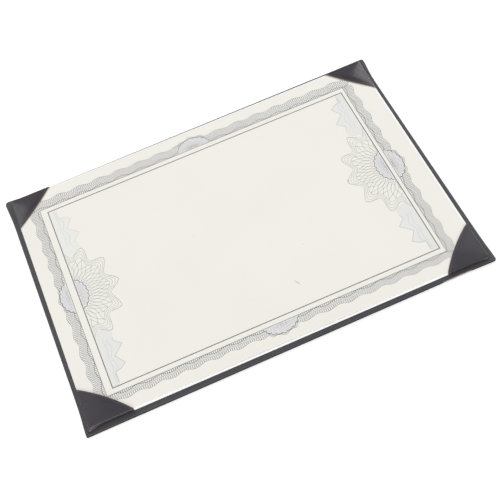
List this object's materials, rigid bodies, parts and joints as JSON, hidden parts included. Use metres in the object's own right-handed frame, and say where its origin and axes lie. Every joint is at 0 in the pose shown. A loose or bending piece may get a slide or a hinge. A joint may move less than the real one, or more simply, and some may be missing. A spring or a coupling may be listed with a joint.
{
  "type": "certificate frame",
  "caption": "Flat certificate frame: leatherette-covered board with a raised white board and folded leatherette corner pockets that hold a landscape A4 certificate.",
  "frame": {"origin": "middle of the covered board's back face, which lies on the table", "axes": "+X along the long side, +Y towards the certificate's top edge, +Z out of the front"},
  "size_m": [0.307, 0.219, 0.0061],
  "materials": {
    "leatherette": "fine-grained matt black-grey leatherette",
    "smooth_leatherette": "smoother satin leatherette with a faint purple cast",
    "greyboard": "raw greyboard",
    "adhesive": "thin double-sided adhesive sheet",
    "white_card": "smooth white board with a white core",
    "cream_paper": "stiff cream certificate paper",
    "pale_ink": "pale grey printed field",
    "grey_ink": "mid grey printed field",
    "dark_ink": "dark warm grey printed line"
  },
  "bodies": {
    "root": {"cover_core": "greyboard", "cover_wrap": "leatherette", "adhesive_sheet": "adhesive", "inner_board": "white_card", "top_left_pocket": "smooth_leatherette", "top_right_pocket": "smooth_leatherette", "bottom_left_pocket": "smooth_leatherette", "bottom_right_pocket": "smooth_leatherette", "certificate_sheet": "cream_paper", "outer_rule": "dark_ink", "inner_rule": "dark_ink", "upper_left_band": "pale_ink", "upper_left_tail": "pale_ink", "upper_right_band": "pale_ink", "upper_right_tail": "pale_ink", "lower_left_band": "pale_ink", "lower_left_tail": "pale_ink", "lower_right_band": "pale_ink", "lower_right_tail": "pale_ink", "top_medallion": "grey_ink", "bottom_medallion": "grey_ink", "left_medallion": "grey_ink", "right_medallion": "grey_ink", "left_rosette": "grey_ink", "left_fan": "pale_ink", "right_rosette": "grey_ink", "right_fan": "pale_ink"}
  },
  "joints": []
}
